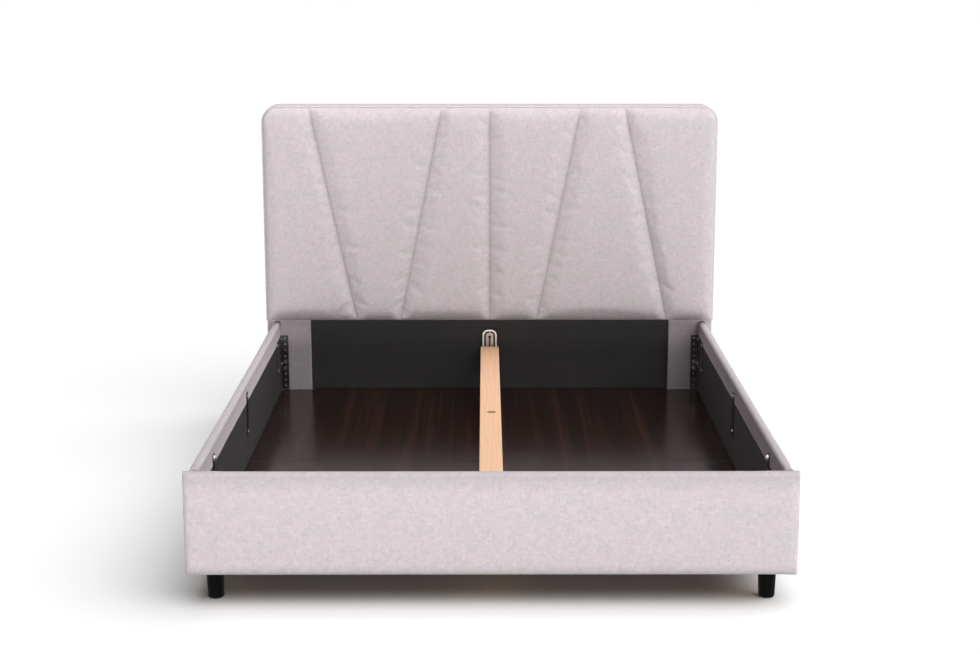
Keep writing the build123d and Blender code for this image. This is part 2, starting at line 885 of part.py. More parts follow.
with BuildPart() as screws:
    for side in (-1, 1):
        into_rail = (side, 0, 0)
        for y, z in head_screws + foot_screws:
            seat = (side * inner_half, y, z)
            screw(seat, into_rail, angle_thickness, screw_radius, screw_head_radius, screw_head_height)
        for y, z in support_screws:
            seat = (side * inner_half, y, z)
            screw(
                seat, into_rail, support_thickness, screw_radius, screw_head_radius, screw_head_height
            )
    for z in hanger_screw_heights:
        lift = hanger_depth - hanger_recess
        screw(
            (0, rear_lining_y, z), (0, 1, 0), lift, hanger_screw_radius,
            hanger_screw_head_radius, hanger_screw_head_height,
        )
        screw(
            (0, foot_inner_y, z), (0, -1, 0), lift, hanger_screw_radius,
            hanger_screw_head_radius, hanger_screw_head_height,
        )
write(screws.part, "bracket_screws")

with BuildPart() as support_studs:
    for side in (-1, 1):
        seat = (side * inner_half, support_places["foot"], support_screw_heights[0])
        screw(
            seat, (side, 0, 0), support_thickness, screw_radius,
            support_stud_radius, support_stud_height,
        )
write(support_studs.part, "slat_support_studs")


def bolt(seat, direction):
    """A hexagon bolt through a corner angle, with seat on the wall behind the angle."""
    into_wall = Vector(*direction)
    head_seat = Vector(*seat) - into_wall * angle_thickness
    with BuildSketch(Plane(origin=head_seat, z_dir=into_wall)) as shank:
        Circle(bolt_radius)
    extrude(shank.sketch, amount=angle_thickness + bolt_grip)
    with BuildSketch(Plane(origin=head_seat, z_dir=into_wall * -1)) as head:
        RegularPolygon(bolt_head_across_flats / 2, 6, major_radius=False)
    extrude(head.sketch, amount=bolt_head_height)


with BuildPart() as bolts:
    for side in (-1, 1):
        for z in angle_bolts:
            bolt((side * angle_bolt_x, post_y, z), (0, 1, 0))
        for z in angle_bolts:
            bolt((side * angle_bolt_x, foot_inner_y, z), (0, -1, 0))
write(bolts.part, "corner_angle_bolts")
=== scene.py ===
# %% [markdown]
# # An upholstered storage bed
# The bed stands without its mattress, so its inside shows: dark linings, a glossy floor, a loose
# pine beam in two keyhole hangers, and perforated steel in the corners. The rigid pieces come
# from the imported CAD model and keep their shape. They get their finish here. The padded pieces
# are made again as cloth over foam, each in the space of its CAD solid.

# %% Load the frame
import json
import math

import bpy
import numpy as np
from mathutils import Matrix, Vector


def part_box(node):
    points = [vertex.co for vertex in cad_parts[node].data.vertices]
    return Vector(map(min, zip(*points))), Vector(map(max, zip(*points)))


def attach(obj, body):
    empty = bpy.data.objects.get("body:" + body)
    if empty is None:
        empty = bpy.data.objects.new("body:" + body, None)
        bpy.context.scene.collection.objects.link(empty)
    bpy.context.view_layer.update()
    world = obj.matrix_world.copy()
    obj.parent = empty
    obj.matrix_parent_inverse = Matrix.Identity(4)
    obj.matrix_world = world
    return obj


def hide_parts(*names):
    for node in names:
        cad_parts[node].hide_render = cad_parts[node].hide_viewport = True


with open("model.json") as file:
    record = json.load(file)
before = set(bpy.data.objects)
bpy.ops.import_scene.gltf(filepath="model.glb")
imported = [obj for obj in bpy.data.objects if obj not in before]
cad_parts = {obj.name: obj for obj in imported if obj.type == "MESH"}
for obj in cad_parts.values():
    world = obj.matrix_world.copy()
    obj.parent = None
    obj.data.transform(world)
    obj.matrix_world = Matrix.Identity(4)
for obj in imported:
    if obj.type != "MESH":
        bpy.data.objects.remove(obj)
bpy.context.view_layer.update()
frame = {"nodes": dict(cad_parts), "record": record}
nodes = frame["nodes"]
mm = 0.001


def span(node):
    """Lowest and highest corner of a CAD node, in metres, as two arrays."""
    low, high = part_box(node)
    return np.array(low), np.array(high)


# %% [markdown]
# ## The camera
# The photograph is taken from a little above the headboard, straight in front of the bed. The
# edges of the box fix the camera's place: a long lens, pitched down by about twelve degrees.

# %% Camera
camera_pitch = 0.2072
camera_turn = 0.0027

camera_data = bpy.data.cameras.new("camera")
camera_data.lens = 64.93
camera_data.sensor_width = 36.0
camera_data.clip_start = 0.1
camera_data.clip_end = 200
camera = bpy.data.objects.new("camera", camera_data)
camera.location = (-0.0167, -5.7194, 1.774)
camera.rotation_euler = (math.pi / 2 - camera_pitch, 0, -camera_turn)
bpy.context.scene.collection.objects.link(camera)
bpy.context.scene.camera = camera

# %% [markdown]
# ## Surfaces from arrays
# Every new piece is a grid of points, worked out with numpy as whole arrays, and joined into
# quads. A section carried along a path gives the padded rails, and a height over a flat outline
# gives the channels. Texture coordinates are the distances over the cloth in metres, so a weave
# keeps its real size and follows the surface.

# %% Grid helpers
def grid_quads(rows, columns, closed=False):
    """Quads of a grid whose points are numbered row by row: each joins a point with the next
    one along its row and the two above them. Closed rows join their last point to the first."""
    row = np.arange(rows - 1)
    column = np.arange(columns if closed else columns - 1)
    row, column = (side.ravel() for side in np.meshgrid(row, column, indexing="ij"))
    start, beside = row * columns, (column + 1) % columns
    corners = (start + column, start + beside, start + columns + beside, start + columns + column)
    return np.stack(corners, axis=-1)


def closed_faces(rows, columns, flip=False):
    """Quads of a closed section carried along a line, with a flat face at each end."""
    faces = grid_quads(rows, columns, closed=True)
    ring = np.arange(columns)
    caps = [ring[::-1], ring + (rows - 1) * columns]
    if flip:
        faces = faces[:, ::-1]
        caps = [cap[::-1] for cap in caps]
    return faces.tolist() + [cap.tolist() for cap in caps]


def marked(points, columns, ends=True):
    """Mask of a grid's points: some columns, and the first and last row too if ends is true."""
    mask = np.zeros(points.shape[:2], dtype=bool)
    mask[:, columns] = True
    if ends:
        mask[[0, -1]] = True
    return mask.ravel()


# %% New pieces
def travelled(points, axis):
    """Distance gone along each line of a grid in metres: the running sum of its steps."""
    steps = np.linalg.norm(np.diff(points, axis=axis), axis=-1)
    start = np.zeros_like(np.take(steps, [0], axis=axis))
    return np.concatenate([start, np.cumsum(steps, axis=axis)], axis=axis)


def new_piece(name, points, faces, cloth_uv, material, creased=None, painted_shade=None):
    """A mesh object at the origin, smooth but for its end faces, which have many corners.

    cloth_uv holds each point's place on the cloth in metres, creased marks the points whose
    shared edges stay sharp when it is subdivided, and the last argument says from nought to one
    how much painted shade darkens the cloth at each point."""
    mesh = bpy.data.meshes.new(name)
    mesh.from_pydata(points.reshape(-1, 3).tolist(), [], faces)
    mesh.update()
    uv = mesh.uv_layers.new(name="cloth")
    corner_points = np.empty(len(mesh.loops), dtype=np.int32)
    mesh.loops.foreach_get("vertex_index", corner_points)
    uv.data.foreach_set("uv", cloth_uv.reshape(-1, 2)[corner_points].astype(np.float32).ravel())
    corners = np.empty(len(mesh.polygons), dtype=np.int32)
    mesh.polygons.foreach_get("loop_total", corners)
    mesh.polygons.foreach_set("use_smooth", corners < 5)
    if creased is not None:
        ends = np.empty(len(mesh.edges) * 2, dtype=np.int32)
        mesh.edges.foreach_get("vertices", ends)
        sharp = creased[ends.reshape(-1, 2)].all(axis=1)
        crease = mesh.attributes.new("crease_edge", "FLOAT", "EDGE")
        crease.data.foreach_set("value", sharp.astype(np.float32))
    # a point attribute of painted shade, read by the cloth's material
    if painted_shade is not None:
        shade_layer = mesh.attributes.new("painted_shade", "FLOAT", "POINT")
        shade_layer.data.foreach_set("value", painted_shade.astype(np.float32).ravel())
    mesh.materials.append(material)
    piece = bpy.data.objects.new(name, mesh)
    bpy.context.scene.collection.objects.link(piece)
    return piece


def places_of(piece):
    """The points of a mesh as an array of three columns."""
    flat = np.empty(len(piece.data.vertices) * 3, dtype=np.float32)
    piece.data.vertices.foreach_get("co", flat)
    return flat.reshape(-1, 3)


# %% Rounded shoulders
def quarter_steps(radius, steps):
    """Distances from an edge at which a quarter-round shoulder is cut into equal chords: the
    radius times one less the cosine of evenly spaced angles."""
    return radius * (1 - np.cos(np.linspace(0, math.pi / 2, steps + 1)))


def shouldered(start, end, radius, steps, cell):
    """Places from start to end: equal chords over a quarter round at each end, and even cells
    of about the given size between them."""
    rim = quarter_steps(radius, steps)
    flat = end - start - 2 * radius
    middle = np.linspace(0, flat, max(2, round(flat / cell) + 1))[1:-1]
    return start + np.concatenate([rim, radius + middle, end - start - rim[::-1]])


def rounded_rise(distance, radius):
    """Height of a quarter-round shoulder, as a share of its radius: the square root of one
    less the square of the share of the radius that is still to go."""
    to_go = np.clip(1 - distance / radius, 0, 1)
    return np.sqrt(1 - to_go**2)


# %% [markdown]
# ## Shader nodes in short
# A material is a tree of nodes. A few small helpers place a node with its values and links, so
# that each finish below reads as a list of what it is made of.

# %% Node helpers
def rgb(text):
    """A colour written as six hexadecimal digits, as the linear values that a shader takes."""
    shares = [int(text[place:place + 2], 16) / 255 for place in (0, 2, 4)]
    linear = [c / 12.92 if c <= 0.04045 else ((c + 0.055) / 1.055) ** 2.4 for c in shares]
    return (*linear, 1.0)


def plug(tree, node, inputs):
    """Gives each of a node's inputs, by name or number, a value, a colour as six digits, or a
    link from another node's socket."""
    for key, value in inputs.items():
        if isinstance(value, bpy.types.NodeSocket):
            tree.links.new(value, node.inputs[key])
        else:
            node.inputs[key].default_value = rgb(value) if isinstance(value, str) else value


def put(tree, kind, inputs=None, **settings):
    """One shader node. settings go on the node, and inputs are plugged in."""
    made = tree.nodes.new("ShaderNode" + kind)
    for key, value in settings.items():
        setattr(made, key, value)
    plug(tree, made, inputs or {})
    return made


def calc(tree, operation, first, second=0.0, third=0.0):
    """Result of a Math node."""
    return put(tree, "Math", {0: first, 1: second, 2: third}, operation=operation).outputs[0]


def vector_calc(tree, operation, first, second):
    """Result of a Vector Math node."""
    return put(tree, "VectorMath", {0: first, 1: second}, operation=operation).outputs[0]


def stretch(tree, vector, scale):
    """A vector times another one, which sets how large a pattern is along each axis."""
    return vector_calc(tree, "MULTIPLY", vector, scale)


def object_place(tree):
    """Where a point is on the object, in metres, for patterns that stay put on it."""
    return put(tree, "TexCoord").outputs["Object"]


def ramp(tree, value, low, high, to_low=0.0, to_high=1.0):
    """A value remapped from one range to another with soft ends."""
    inputs = {0: value, 1: low, 2: high, 3: to_low, 4: to_high}
    return put(tree, "MapRange", inputs, interpolation_type="SMOOTHSTEP").outputs["Result"]


def noise(tree, vector, size, detail=2.0, roughness=0.5):
    """Smooth noise between nought and one. size is how often it changes over a metre, as one
    number or as three for the three axes."""
    if isinstance(size, tuple):
        vector, size = stretch(tree, vector, size), 1.0
    inputs = {"Vector": vector, "Scale": size, "Detail": detail, "Roughness": roughness}
    return put(tree, "TexNoise", inputs).outputs["Fac"]


def blend_colours(tree, share, first, second, mode="MIX"):
    """Two colours mixed by a share. A Mix node's colours are its sockets 6 and 7."""
    inputs = {0: share, 6: first, 7: second}
    return put(tree, "Mix", inputs, data_type="RGBA", blend_type=mode).outputs[2]


# %% Groups and finishes
def group(name, colours, values, more=()):
    """A new shader node group. It takes a Vector, colours, and values with their defaults, and
    puts out Color, Height and more values. Returns the group, the sockets of its inputs by name
    and the node that its results are plugged in."""
    tree = bpy.data.node_groups.new(name, "ShaderNodeTree")
    kinds = {"Vector": "Vector"} | dict.fromkeys(colours, "Color") | dict.fromkeys(values, "Float")
    for label, kind in kinds.items():
        socket = tree.interface.new_socket(label, in_out="INPUT", socket_type="NodeSocket" + kind)
        if label in values:
            socket.default_value = values[label]
    for label in ("Color", "Height", *more):
        kind = "Color" if label == "Color" else "Float"
        tree.interface.new_socket(label, in_out="OUTPUT", socket_type="NodeSocket" + kind)
    return tree, tree.nodes.new("NodeGroupInput").outputs, tree.nodes.new("NodeGroupOutput")


def use(tree, made_group, inputs):
    """A node group placed in a material, with its own values."""
    return put(tree, "Group", inputs, node_tree=made_group).outputs


finishes = {}


def finish_named(name):
    """A new material with one Principled shader. Returns its tree and the shader."""
    finishes[name] = bpy.data.materials.new(name)
    finishes[name].use_nodes = True
    tree = finishes[name].node_tree
    return tree, tree.nodes["Principled BSDF"]


def feed(tree, shader, colour, height, depth, strength, roughness, more=None):
    """Gives a shader its colour, bump, roughness and more inputs. depth is how far the bump
    stands out, in metres."""
    bump = put(tree, "Bump", {"Height": height, "Distance": depth, "Strength": strength})
    inputs = {"Base Color": colour, "Normal": bump.outputs["Normal"], "Roughness": roughness}
    plug(tree, shader, inputs | (more or {}))


# %% [markdown]
# ## Heather cloth
# The cover is a pale heather weave: mixed pinkish and grey yarns about a millimetre and a half
# wide, so it looks plain from a step away and flecked close up. One group makes any such cloth.
# The weave is the product of two sine waves, which rises and sinks by turns like the yarns of a
# plain weave, and its dips get a little painted shade. Noise stretched along the warp and the
# weft picks out single lighter and darker yarns. Coarser noise makes the slubs, thick soft
# stretches of yarn that curl a little, and wide noise gives the faint clouds. A painted shade,
# given per point by each piece, multiplies the colour by a grey tone where seams, edges and
# the inside of the box lie in shade.

# %% Heather group
heather, io, end = group(
    "heather_weave",
    colours=("Base", "Tint", "Pale yarn", "Dark yarn", "Painted shade tone"),
    values={"Yarn": 1.6 * mm, "Flecks": 0.5, "Painted shade": 0.0},
)
per_yarn = calc(heather, "DIVIDE", math.pi, io["Yarn"])
wander = put(heather, "TexNoise", {"Vector": io["Vector"], "Scale": 160.0, "Detail": 0.0})
bent = stretch(heather, wander.outputs["Color"], (1.4, 1.4, 1.4))
bent = vector_calc(heather, "ADD", stretch(heather, io["Vector"], per_yarn), bent)
across = put(heather, "SeparateXYZ", {0: bent}).outputs
weft = calc(heather, "SINE", across["X"])
warp = calc(heather, "SINE", across["Y"])
crossing = calc(heather, "MULTIPLY", weft, warp)
plain_weave = calc(heather, "MULTIPLY_ADD", crossing, 0.5, 0.5)
along_warp = noise(heather, io["Vector"], (340, 60, 1), detail=1.0)
along_weft = noise(heather, io["Vector"], (60, 340, 1), detail=1.0)
pale = ramp(heather, along_warp, 0.56, 0.78, 0.0, 0.7)
dark = ramp(heather, along_weft, 0.44, 0.22, 0.0, 0.7)
curl = put(heather, "TexNoise", {"Vector": io["Vector"], "Scale": 55.0, "Detail": 1.0})
curl = stretch(heather, curl.outputs["Color"], (0.013, 0.013, 0.013))
curled = vector_calc(heather, "ADD", io["Vector"], curl)
for slub_size in ((120, 50, 1), (50, 120, 1)):
    slub = noise(heather, curled, slub_size, detail=1.0)
    pale = calc(heather, "MAXIMUM", pale, ramp(heather, slub, 0.54, 0.70))
    dark = calc(heather, "MAXIMUM", dark, ramp(heather, slub, 0.40, 0.26))
clouds = noise(heather, io["Vector"], 22.0, roughness=0.55)
flecked = blend_colours(heather, ramp(heather, clouds, 0.36, 0.66), io["Base"], io["Tint"])
for fleck, yarn in ((pale, "Pale yarn"), (dark, "Dark yarn")):
    share = calc(heather, "MULTIPLY", fleck, io["Flecks"])
    flecked = blend_colours(heather, share, flecked, io[yarn])
# painted shade: the dips of the weave are darkened a little towards black
in_the_dips = ramp(heather, plain_weave, 0.0, 0.5, 0.10, 0.0)
shaded = blend_colours(heather, in_the_dips, flecked, "000000")
# painted shade: the colour is multiplied towards the grey shade tone by the per-point amount
shaded = blend_colours(heather, io["Painted shade"], shaded, io["Painted shade tone"], "MULTIPLY")
plug(heather, end, {"Color": shaded, "Height": plain_weave})

# %% Upholstery cloth
tree, shader = finish_named("upholstery_fabric")
woven = use(tree, heather, {
    "Vector": put(tree, "UVMap", uv_map="cloth").outputs["UV"],
    "Base": "d9cdd1",
    "Tint": "d4cbcd",
    "Pale yarn": "e9e0e4",
    "Dark yarn": "c2b6ba",
    "Flecks": 0.40,
    # painted shade: the per-point amount and its grey tone darken the cloth where it lies in shade
    "Painted shade": put(tree, "Attribute", attribute_name="painted_shade").outputs["Fac"],
    "Painted shade tone": "c3c6c4",
})
feed(tree, shader, woven["Color"], woven["Height"], 0.25 * mm, 0.7, roughness=0.92,
     more={"Specular IOR Level": 0.25, "Sheen Weight": 0.12, "Sheen Roughness": 0.5})

# %% Dark linings and back cloth
tree, shader = finish_named("box_lining")
place = object_place(tree)
threads = noise(tree, place, (700, 160, 700))
patches = noise(tree, place, 7.0, detail=3.0)
lining_tone = blend_colours(tree, ramp(tree, threads, 0.35, 0.65), "2d2a2b", "393637")
faded = ramp(tree, patches, 0.3, 0.7, 0.0, 0.25)
lining_tone = blend_colours(tree, faded, lining_tone, "211e1f")
rough = ramp(tree, threads, 0.3, 0.7, 0.62, 0.78)
feed(tree, shader, lining_tone, threads, 0.15 * mm, 0.6, roughness=rough,
     more={"Specular IOR Level": 0.4})

tree, shader = finish_named("back_cloth")
place = object_place(tree)
dots = put(tree, "TexVoronoi", {"Vector": place, "Scale": 420.0}, feature="F1").outputs["Distance"]
fibres = noise(tree, place, (90, 90, 380), detail=4.0, roughness=0.7)
felt = blend_colours(tree, ramp(tree, fibres, 0.35, 0.7), "201e20", "353235")
feed(tree, shader, felt, calc(tree, "ADD", dots, fibres), 0.2 * mm, 0.5, roughness=0.88)

# %% [markdown]
# ## Wood
# Pine, laminate and the timber inside all have their grain along the bed here. One group makes
# it: noise stretched far along the grain bends a row of bands, which become the year rings, and
# finer noise gives the pores. Each wood gives its own colours and ring spacing.

# %% Wood group
grain, io, end = group(
    "wood_grain",
    colours=("Early wood", "Late wood"),
    values={"Ring": 8 * mm, "Contrast": 0.5, "Waviness": 6.0},
    more=("Pores",),
)
drift = noise(grain, io["Vector"], (9, 1.3, 9))
apart = put(grain, "SeparateXYZ", {0: io["Vector"]}).outputs
out_from_core = calc(grain, "MULTIPLY_ADD", apart["Z"], 0.6, apart["X"])
rings_gone = calc(grain, "DIVIDE", out_from_core, io["Ring"])
rings_gone = calc(grain, "MULTIPLY_ADD", drift, io["Waviness"], rings_gone)
in_ring = calc(grain, "FRACT", rings_gone)
late = calc(grain, "MULTIPLY", ramp(grain, in_ring, 0.25, 0.85), ramp(grain, in_ring, 1.0, 0.9))
pores = noise(grain, io["Vector"], (900, 22, 900), roughness=0.6)
late_share = calc(grain, "MULTIPLY", late, io["Contrast"])
wood = blend_colours(grain, late_share, io["Early wood"], io["Late wood"])
streaks = ramp(grain, pores, 0.55, 0.75, 0.0, 0.22)
wood = blend_colours(grain, streaks, wood, io["Late wood"])
ridges = calc(grain, "MULTIPLY_ADD", late, 0.4, pores)
plug(grain, end, {"Color": wood, "Height": ridges, "Pores": pores})


def wooden(name, ring, early, late_colour, contrast, waviness, gloss, depth, strength):
    """A wood finish with its grain along Y. gloss is its roughness between the pores and in
    them. Returns its tree and shader, and the sockets of its colour and roughness."""
    tree, shader = finish_named(name)
    made = use(tree, grain, {"Vector": object_place(tree), "Ring": ring, "Early wood": early,
                             "Late wood": late_colour, "Contrast": contrast,
                             "Waviness": waviness})
    rough = ramp(tree, made["Pores"], 0.3, 0.7, *gloss)
    feed(tree, shader, made["Color"], made["Height"], depth, strength, rough)
    return tree, shader, made["Color"], rough


# %% [markdown]
# The beam is clear pine with one short brown knot near its middle, over the leg. The knot is a
# flat ellipse measured from its own centre, with a ragged edge from noise.

# %% Beam pine
tree, shader, pine, _ = wooden(
    "beam_pine", 16 * mm, "edbf9b", "dca57d", 0.28, 4.5, (0.45, 0.58), 0.12 * mm, 0.5
)
knot_place = (4 * mm, -32 * mm, 290 * mm)
knot_half = (19 * mm, 16 * mm, 16 * mm)
place = object_place(tree)
from_knot = vector_calc(tree, "SUBTRACT", place, knot_place)
from_knot = vector_calc(tree, "DIVIDE", from_knot, knot_half)
reach = put(tree, "VectorMath", {0: from_knot}, operation="LENGTH").outputs["Value"]
ragged = noise(tree, place, (350, 900, 350))
reach = calc(tree, "MULTIPLY_ADD", ragged, 0.9, reach)
knotted = blend_colours(tree, ramp(tree, reach, 1.45, 1.05), pine, "80522f")
plug(tree, shader, {"Base Color": knotted})

wooden("frame_timber", 7 * mm, "d9b78c", "b98d5c", 0.6, 3.0, (0.57, 0.70), 0.12 * mm, 0.5)

# %% Chipboard
tree, shader = finish_named("frame_board")
place = object_place(tree)
chips = put(tree, "TexVoronoi", {"Vector": stretch(tree, place, (1, 0.55, 1)), "Scale": 160.0})
chip_tone = ramp(tree, put(tree, "SeparateXYZ", {0: chips.outputs["Color"]}).outputs["X"], 0, 1)
chipped = blend_colours(tree, chip_tone, "a98455", "d6b684")
dust = noise(tree, place, 500.0, detail=3.0)
chipped = blend_colours(tree, ramp(tree, dust, 0.5, 0.8, 0, 0.4), chipped, "7d5f3b")
feed(tree, shader, chipped, chips.outputs["Distance"], 0.3 * mm, 0.5, roughness=0.8)

# %% [markdown]
# The storage floor is a dark brown laminate under a hard lacquer, in which the surroundings are
# mirrored. Strips about a hand wide differ a little in tone, long noise gives reddish and dark
# streaks, and a matt dark line marks the seam where the boards meet across the bed.

# %% Floor laminate
front_board, rear_board = span("floor_board_front_left"), span("floor_board_rear_left")
floor_seam_y = (front_board[1][1] + rear_board[0][1]) / 2
strip_width = 118 * mm
tree, shader, laminate, rough = wooden(
    "floor_laminate", 26 * mm, "1f110c", "120906", 0.6, 1.2, (0.16, 0.24), 0.03 * mm, 0.25
)
place = object_place(tree)
apart = put(tree, "SeparateXYZ", {0: place}).outputs
strip = calc(tree, "FLOOR", calc(tree, "DIVIDE", apart["X"], strip_width))
tone = put(tree, "TexWhiteNoise", {"W": strip}, noise_dimensions="1D").outputs["Value"]
stained = blend_colours(tree, calc(tree, "MULTIPLY", tone, 0.6), laminate, "170d0b")
streak_noise = noise(tree, place, (34, 0.5, 1), detail=4.0, roughness=0.65)
for start, end, most, streak in ((0.46, 0.70, 0.45, "45261c"), (0.36, 0.26, 0.8, "0d0706")):
    share = ramp(tree, streak_noise, start, end, 0, most)
    stained = blend_colours(tree, share, stained, streak)
from_seam = calc(tree, "ABSOLUTE", calc(tree, "SUBTRACT", apart["Y"], floor_seam_y))
at_seam = ramp(tree, from_seam, 3.5 * mm, 1.5 * mm)
stained = blend_colours(tree, at_seam, stained, "080505")
plug(tree, shader, {"Base Color": stained, "Roughness": calc(tree, "MAXIMUM", rough, at_seam)})

# %% [markdown]
# ## Metal and plastic
# The hangers are polished, the corner angles and slat supports are plain rolled steel, and the
# screws are zinc plated. All of them, and the plastic feet, have handling marks. One group makes
# these: broad smears that change the gloss, and fine scratches that catch the light.

# %% Handling marks group
marks, io, end = group(
    "handling_marks",
    colours=("Base", "Worn"),
    values={"Smooth": 0.15, "Rough": 0.35},
    more=("Roughness",),
)
smears = noise(marks, io["Vector"], 60.0, detail=3.0, roughness=0.6)
scratches = noise(marks, io["Vector"], (60, 60, 2200))
specks = noise(marks, io["Vector"], 1400.0, detail=1.0)
gloss = ramp(marks, smears, 0.3, 0.7)
gloss = calc(marks, "MULTIPLY_ADD", scratches, 0.25, gloss)
gloss_range = calc(marks, "SUBTRACT", io["Rough"], io["Smooth"])
rough = calc(marks, "MULTIPLY_ADD", gloss, gloss_range, io["Smooth"])
worn = blend_colours(marks, ramp(marks, scratches, 0.55, 0.8, 0, 0.8), io["Base"], io["Worn"])
bumps = calc(marks, "MULTIPLY_ADD", scratches, 0.5, specks)
plug(marks, end, {"Color": worn, "Height": bumps, "Roughness": rough})


def handled(name, base, worn_colour, smooth, rough_end, depth, metallic=1.0, specular=0.5):
    """A metal or plastic finish with handling marks."""
    tree, shader = finish_named(name)
    made = use(tree, marks, {"Vector": object_place(tree), "Base": base,
                             "Worn": worn_colour, "Smooth": smooth, "Rough": rough_end})
    feed(tree, shader, made["Color"], made["Height"], depth, 0.4, roughness=made["Roughness"],
         more={"Metallic": metallic, "Specular IOR Level": specular})


handled("hanger_steel", "dedbd9", "f2f0ee", 0.30, 0.42, 0.01 * mm)
handled("bracket_steel", "575452", "94908d", 0.26, 0.40, 0.02 * mm)
handled("fastener_steel", "c9c9c6", "e8e8e6", 0.18, 0.32, 0.01 * mm)
handled("foot_plastic", "080808", "111111", 0.45, 0.60, 0.03 * mm, 0.0, 0.05)

# %% [markdown]
# The hangers are polished on their rim. The boss round the keyhole lies a little lower and is a
# darker grey, and the recess between them is nearly black. Masks pick out both by how far they
# lie behind the rim.

# %% Hanger recess
tree = finishes["hanger_steel"].node_tree
shader = tree.nodes["Principled BSDF"]
along = put(tree, "SeparateXYZ", {0: object_place(tree)}).outputs["Y"]
rim_faces = (span("beam_hanger_head")[0][1], span("beam_hanger_foot")[1][1])
from_faces = [
    calc(tree, "ABSOLUTE", calc(tree, "SUBTRACT", along, rim_face)) for rim_face in rim_faces
]
behind_rim = calc(tree, "MINIMUM", *from_faces)
toned_by_depth = shader.inputs["Base Color"].links[0].from_socket
for start, end, tone in ((1.0 * mm, 1.8 * mm, "a49e9b"), (2.6 * mm, 3.4 * mm, "3f3836")):
    toned_by_depth = blend_colours(tree, ramp(tree, behind_rim, start, end), toned_by_depth, tone)
plug(tree, shader, {"Base Color": toned_by_depth})

# %% Give every CAD node its finish
slot_of = {part["node"]: part["material_slot"] for part in frame["record"]["subparts"]}
for node, cad_piece in nodes.items():
    cad_piece.data.materials.clear()
    cad_piece.data.materials.append(finishes[slot_of[node]])
print(f"{len(slot_of)} nodes share {len(finishes)} finishes")

# %% [markdown]
# ## Padded pieces
# A padded piece starts as the shape of its foam, a little lower than the finished cushion.
# Blender's cloth solver then takes over: the cloth is cut slightly larger than the foam, held
# along its seams, and blown up from inside with gravity off, so it bulges and puckers as a tight
# cover does. The movement is capped, because the cover can't leave its foam, and the result is
# kept as a mesh. The thin border and the post covers stay as they are modelled.

# %% Cloth that settles over foam
padded_pieces = []
settle_frames = 20


def will_settle(piece, held, spare, pressure, cap):
    """Adds the cloth simulation to a piece. held marks the points that stay on their seams,
    spare is how much larger than the foam the cloth is cut, as a share, and cap, in metres, is
    how far a point may move."""
    seam = piece.vertex_groups.new(name="held")
    seam.add(np.flatnonzero(held).tolist(), 1.0, "REPLACE")
    cloth = piece.modifiers.new("Cloth", "CLOTH")
    settings = {
        "quality": 5, "mass": 0.15, "tension_stiffness": 20, "compression_stiffness": 20,
        "shear_stiffness": 8, "bending_stiffness": 1.5, "use_pressure": True,
        "uniform_pressure_force": pressure, "shrink_min": -spare, "vertex_group_mass": "held",
    }
    for name, value in settings.items():
        setattr(cloth.settings, name, value)
    cloth.settings.effector_weights.gravity = 0
    cloth.collision_settings.use_collision = False
    cloth.point_cache.frame_start = 1
    cloth.point_cache.frame_end = settle_frames
    padded_pieces.append((piece, cap))


def settle_all():
    """Steps the simulation of every waiting piece at once and keeps each result. A point goes
    the way that the cloth moved it, as far as the cap times the hyperbolic tangent of the
    distance over the cap."""
    scene = bpy.context.scene
    for number in range(1, settle_frames + 1):
        scene.frame_set(number)
    graph = bpy.context.evaluated_depsgraph_get()
    for piece, cap in padded_pieces:
        before = places_of(piece)
        shift = places_of(piece.evaluated_get(graph)) - before
        length = np.linalg.norm(shift, axis=1, keepdims=True)
        shift *= cap * np.tanh(length / cap) / np.maximum(length, 1e-9)
        piece.modifiers.remove(piece.modifiers["Cloth"])
        piece.vertex_groups.clear()
        piece.data.vertices.foreach_set("co", (before + shift).ravel())
        piece.data.update()
        print(f"{piece.name}: cloth moved up to {length.max() / mm:.1f} mm")
    scene.frame_set(1)


covers = []
cover_cloth = finishes["upholstery_fabric"]


def finish_padded(piece, *replaced, fill):
    """Ties a padded piece to the frame of the bed, in place of its CAD solid."""
    covers.append(piece)
    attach(piece, "bed_frame")
    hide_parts(*replaced)


# %% [markdown]
# ## The six channels of the headboard
# Five slanting seams part the headboard into six wedges. Each is foam that rises from the
# outline in a quarter round, falls to an open valley at each seam and rolls under at the bottom,
# less so where a seam holds it. The outer two follow the headboard's rounded corners. The places
# of the seams are shares of the headboard's half width, read from the photograph.

# %% Sizes of the channels
seam_top_shares = (-0.790, -0.209, 0.0, 0.398, 0.590)
seam_bottom_shares = (-0.590, -0.398, 0.0, 0.209, 0.790)
edge_round = 32 * mm
edge_depth = 25 * mm
groove_width = 44 * mm
groove_share = 0.55
slow_reach = 95 * mm
slow_share = 0.30
crown = 2 * mm
seam_depth = 5 * mm
edge_proud = 4.2 * mm
side_haste = 2.0
bottom_round = 42 * mm
swell_width = 44 * mm
held_share = 0.2
# painted shade on the channels: a little all over, more on the rolled bottom and in the valleys
# beside the seams, less in the valleys near the top
least_painted_shade = 0.12
bottom_painted_shade = (80 * mm, 0.9)
valley_painted_shade = ((44 * mm, 0.26), (14 * mm, 0.6))
top_calm, top_calm_least = 60 * mm, 0.3
groove_power, fade_power, crown_power = 2.2, 1.4, 0.6
channel_gap = 0.15 * mm
cell = 9 * mm
shoulder_cells = 5
corner_radius = 55 * mm
ruffle = 0.12 * mm
back_uv_shift = 20 * mm
rng = np.random.default_rng(11)

